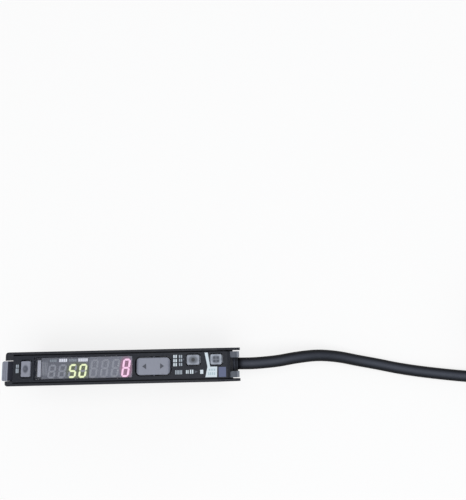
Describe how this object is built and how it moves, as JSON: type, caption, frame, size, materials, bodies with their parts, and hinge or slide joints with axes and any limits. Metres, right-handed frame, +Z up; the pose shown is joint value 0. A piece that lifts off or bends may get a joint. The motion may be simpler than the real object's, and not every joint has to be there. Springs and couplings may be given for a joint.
{
  "type": "fibre optic sensor amplifier",
  "caption": "Slim rail-mounted fibre optic sensor amplifier with a digital display, keys, a fibre lock lever and a cable laid in a hank.",
  "frame": {"origin": "middle of the unit's base, without its cable", "axes": "+X along the unit to the cable end, +Y across it, +Z up out of the display face"},
  "size_m": [0.2467, 0.0364, 0.0306],
  "materials": {
    "case_plastic": "satin",
    "panel_plastic": "satin",
    "key_plastic": "satin",
    "smoked_window": "polished",
    "light_bar": "frosted",
    "module_plastic": "satin",
    "unlit": "satin",
    "lit_green": "lit",
    "lit_red": "lit",
    "board": "satin",
    "black_plastic": "satin",
    "steel": "bright",
    "can": "satin",
    "pale_plastic": "satin",
    "cable_jacket": "matt",
    "core_brown": "matt",
    "core_blue": "matt",
    "core_black": "matt",
    "core_white": "matt"
  },
  "bodies": {
    "unit": {"case_shell": "case_plastic", "side_cover": "case_plastic", "fibre_block": "case_plastic", "face_panel": "panel_plastic", "display_window": "smoked_window", "light_guide": "light_bar", "green_display": "module_plastic", "red_display": "module_plastic", "unlit_segments": "unlit", "green_segments": "lit_green", "red_segments": "lit_red", "display_board": "board", "main_board": "board", "set_switch": "black_plastic", "mode_switch": "black_plastic", "preset_switch": "black_plastic", "rocker_switch_front": "black_plastic", "rocker_switch_rear": "black_plastic", "signal_chip": "black_plastic", "driver_chip": "black_plastic", "expansion_socket": "black_plastic", "expansion_plug": "black_plastic", "receiver_diode": "black_plastic", "hank_tie_near": "black_plastic", "hank_tie_far": "black_plastic", "lever_pin": "steel", "latch_spring": "steel", "filter_capacitor": "can", "emitter_led": "pale_plastic", "cable_run": "cable_jacket", "cable_hank": "cable_jacket", "cable_bush": "cable_jacket", "lead_brown": "core_brown", "lead_blue": "core_blue", "lead_black": "core_black", "lead_white": "core_white"},
    "set_key": {"set_button": "key_plastic"},
    "rocker": {"adjust_rocker": "key_plastic"},
    "mode_key": {"mode_button": "key_plastic"},
    "preset_key": {"preset_button": "key_plastic"},
    "lever": {"lock_lever": "key_plastic"},
    "clamp": {"fibre_clamp": "pale_plastic"},
    "latch": {"rail_latch": "case_plastic"}
  },
  "joints": [
    {"name": "set_press", "type": "slide", "parent": "unit", "child": "set_key", "axis": [0, 0, -1], "range_m": [0, 0.0003], "stiffness_N_per_m": 400},
    {"name": "mode_press", "type": "slide", "parent": "unit", "child": "mode_key", "axis": [0, 0, -1], "range_m": [0, 0.0003], "stiffness_N_per_m": 400},
    {"name": "preset_press", "type": "slide", "parent": "unit", "child": "preset_key", "axis": [0, 0, -1], "range_m": [0, 0.0003], "stiffness_N_per_m": 400},
    {"name": "adjust_rock", "type": "hinge", "parent": "unit", "child": "rocker", "pos_m": [0.0095, 0, 0.0278], "axis": [0, 1, 0], "range_deg": [-3, 3], "stiffness_Nm_per_rad": 0.02},
    {"name": "lever_flip", "type": "hinge", "parent": "unit", "child": "lever", "pos_m": [-0.0326, 0, 0.0204], "axis": [0, -1, 0], "range_deg": [0, 80]},
    {"name": "clamp_lift", "type": "slide", "parent": "unit", "child": "clamp", "axis": [0, 0, 1], "range_m": [0, 0.00045]},
    {"name": "latch_slide", "type": "slide", "parent": "unit", "child": "latch", "axis": [1, 0, 0], "range_m": [0, 0.0015], "stiffness_N_per_m": 300, "deforming": ["latch_spring"]}
  ],
  "couplings": [
    {"joint": "lever_flip", "follows": "clamp_lift", "rad_per_m": 3100}
  ]
}
